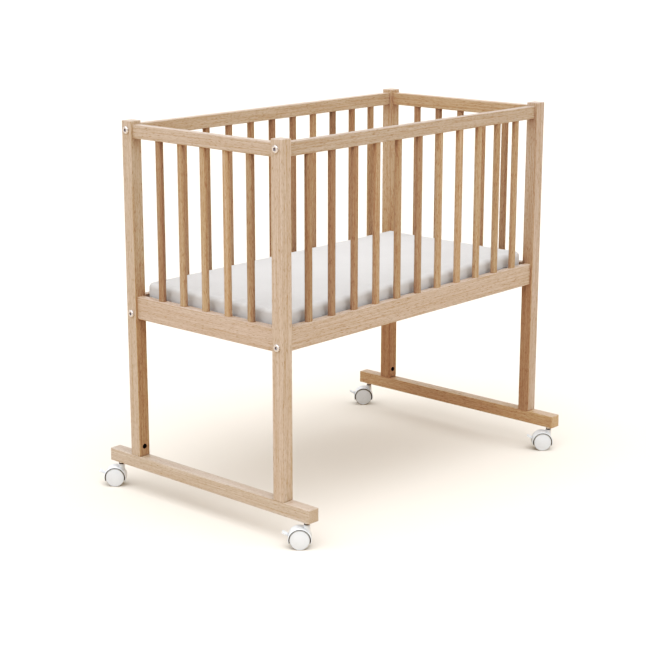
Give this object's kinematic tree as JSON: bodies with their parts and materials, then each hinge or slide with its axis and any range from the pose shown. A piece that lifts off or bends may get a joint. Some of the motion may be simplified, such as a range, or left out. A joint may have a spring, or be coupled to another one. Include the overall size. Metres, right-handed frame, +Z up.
{
  "type": "bassinet on stand",
  "caption": "Slatted wooden bassinet with a flat mattress, raised on square posts over two foot beams with braked twin-wheel swivel casters.",
  "frame": {"origin": "on the floor under the middle of the resting box, which the trailed casters widen beyond the frame", "axes": "+X along the bed's length towards the right end, +Y across it towards the back, +Z up"},
  "size_m": [0.8868, 0.6114, 0.806],
  "materials": {
    "beech": "light natural beech, clear matt lacquer",
    "dowel_beech": "raw fluted beech dowel",
    "mattress_cover": "smooth off-white cotton cover",
    "bright_steel": "bright zinc or nickel plate",
    "steel": "zinc-plated steel",
    "caster_housing": "white moulded plastic, satin gloss",
    "caster_wheel": "white moulded plastic, satin gloss"
  },
  "bodies": {
    "frame": {"front_left_post": "beech", "front_right_post": "beech", "back_left_post": "beech", "back_right_post": "beech", "left_foot_beam": "beech", "right_foot_beam": "beech", "left_top_rail": "beech", "left_bottom_rail": "beech", "right_top_rail": "beech", "right_bottom_rail": "beech", "front_top_rail": "beech", "front_bottom_rail": "beech", "back_top_rail": "beech", "back_bottom_rail": "beech", "front_slats": "beech", "back_slats": "beech", "left_end_slats": "beech", "right_end_slats": "beech", "front_ledge": "beech", "back_ledge": "beech", "base_slats": "beech", "dowels": "dowel_beech", "rail_bolts": "bright_steel", "rail_barrel_nuts": "steel", "foot_bolts": "steel", "foot_barrel_nuts": "steel", "ledge_screws": "steel", "base_slat_screws": "steel", "caster_sockets": "steel", "front_left_stem": "bright_steel", "front_right_stem": "bright_steel", "back_left_stem": "bright_steel", "back_right_stem": "bright_steel"},
    "mattress": {"mattress": "mattress_cover"},
    "front_left_caster": {"front_left_hood": "caster_housing", "front_left_axle": "steel", "front_left_brake_pin": "steel"},
    "front_left_near_wheel": {"front_left_near_wheel": "caster_wheel"},
    "front_left_far_wheel": {"front_left_far_wheel": "caster_wheel"},
    "front_left_brake": {"front_left_brake_lever": "caster_housing"},
    "front_right_caster": {"front_right_hood": "caster_housing", "front_right_axle": "steel", "front_right_brake_pin": "steel"},
    "front_right_near_wheel": {"front_right_near_wheel": "caster_wheel"},
    "front_right_far_wheel": {"front_right_far_wheel": "caster_wheel"},
    "front_right_brake": {"front_right_brake_lever": "caster_housing"},
    "back_left_caster": {"back_left_hood": "caster_housing", "back_left_axle": "steel", "back_left_brake_pin": "steel"},
    "back_left_near_wheel": {"back_left_near_wheel": "caster_wheel"},
    "back_left_far_wheel": {"back_left_far_wheel": "caster_wheel"},
    "back_left_brake": {"back_left_brake_lever": "caster_housing"},
    "back_right_caster": {"back_right_hood": "caster_housing", "back_right_axle": "steel", "back_right_brake_pin": "steel"},
    "back_right_near_wheel": {"back_right_near_wheel": "caster_wheel"},
    "back_right_far_wheel": {"back_right_far_wheel": "caster_wheel"},
    "back_right_brake": {"back_right_brake_lever": "caster_housing"}
  },
  "joints": [
    {"name": "mattress_lift", "type": "slide", "parent": "frame", "child": "mattress", "axis": [0, 0, 1], "range_m": [0, 0.45]},
    {"name": "front_left_swivel", "type": "hinge", "parent": "frame", "child": "front_left_caster", "pos_m": [-0.4061, -0.2867, 0.045], "axis": [0, 0, 1], "continuous": true},
    {"name": "front_left_near_spin", "type": "hinge", "parent": "front_left_caster", "child": "front_left_near_wheel", "pos_m": [-0.41547, -0.2763, 0.0205], "axis": [-0.7431, -0.6691, 0], "continuous": true},
    {"name": "front_left_far_spin", "type": "hinge", "parent": "front_left_caster", "child": "front_left_far_wheel", "pos_m": [-0.41547, -0.2763, 0.0205], "axis": [-0.7431, -0.6691, 0], "continuous": true},
    {"name": "front_left_brake_press", "type": "hinge", "parent": "front_left_caster", "child": "front_left_brake", "pos_m": [-0.42417, -0.26664, 0.023], "axis": [-0.7431, -0.6691, 0], "range_deg": [0, 20]},
    {"name": "front_right_swivel", "type": "hinge", "parent": "frame", "child": "front_right_caster", "pos_m": [0.4259, -0.2867, 0.045], "axis": [0, 0, 1], "continuous": true},
    {"name": "front_right_near_spin", "type": "hinge", "parent": "front_right_caster", "child": "front_right_near_wheel", "pos_m": [0.41653, -0.2763, 0.0205], "axis": [-0.7431, -0.6691, 0], "continuous": true},
    {"name": "front_right_far_spin", "type": "hinge", "parent": "front_right_caster", "child": "front_right_far_wheel", "pos_m": [0.41653, -0.2763, 0.0205], "axis": [-0.7431, -0.6691, 0], "continuous": true},
    {"name": "front_right_brake_press", "type": "hinge", "parent": "front_right_caster", "child": "front_right_brake", "pos_m": [0.40783, -0.26664, 0.023], "axis": [-0.7431, -0.6691, 0], "range_deg": [0, 20]},
    {"name": "back_left_swivel", "type": "hinge", "parent": "frame", "child": "back_left_caster", "pos_m": [-0.4061, 0.2653, 0.045], "axis": [0, 0, 1], "continuous": true},
    {"name": "back_left_near_spin", "type": "hinge", "parent": "back_left_caster", "child": "back_left_near_wheel", "pos_m": [-0.41547, 0.2757, 0.0205], "axis": [-0.7431, -0.6691, 0], "continuous": true},
    {"name": "back_left_far_spin", "type": "hinge", "parent": "back_left_caster", "child": "back_left_far_wheel", "pos_m": [-0.41547, 0.2757, 0.0205], "axis": [-0.7431, -0.6691, 0], "continuous": true},
    {"name": "back_left_brake_press", "type": "hinge", "parent": "back_left_caster", "child": "back_left_brake", "pos_m": [-0.42417, 0.28536, 0.023], "axis": [-0.7431, -0.6691, 0], "range_deg": [0, 20]},
    {"name": "back_right_swivel", "type": "hinge", "parent": "frame", "child": "back_right_caster", "pos_m": [0.4259, 0.2653, 0.045], "axis": [0, 0, 1], "continuous": true},
    {"name": "back_right_near_spin", "type": "hinge", "parent": "back_right_caster", "child": "back_right_near_wheel", "pos_m": [0.41653, 0.2757, 0.0205], "axis": [-0.7431, -0.6691, 0], "continuous": true},
    {"name": "back_right_far_spin", "type": "hinge", "parent": "back_right_caster", "child": "back_right_far_wheel", "pos_m": [0.41653, 0.2757, 0.0205], "axis": [-0.7431, -0.6691, 0], "continuous": true},
    {"name": "back_right_brake_press", "type": "hinge", "parent": "back_right_caster", "child": "back_right_brake", "pos_m": [0.40783, 0.28536, 0.023], "axis": [-0.7431, -0.6691, 0], "range_deg": [0, 20]}
  ]
}
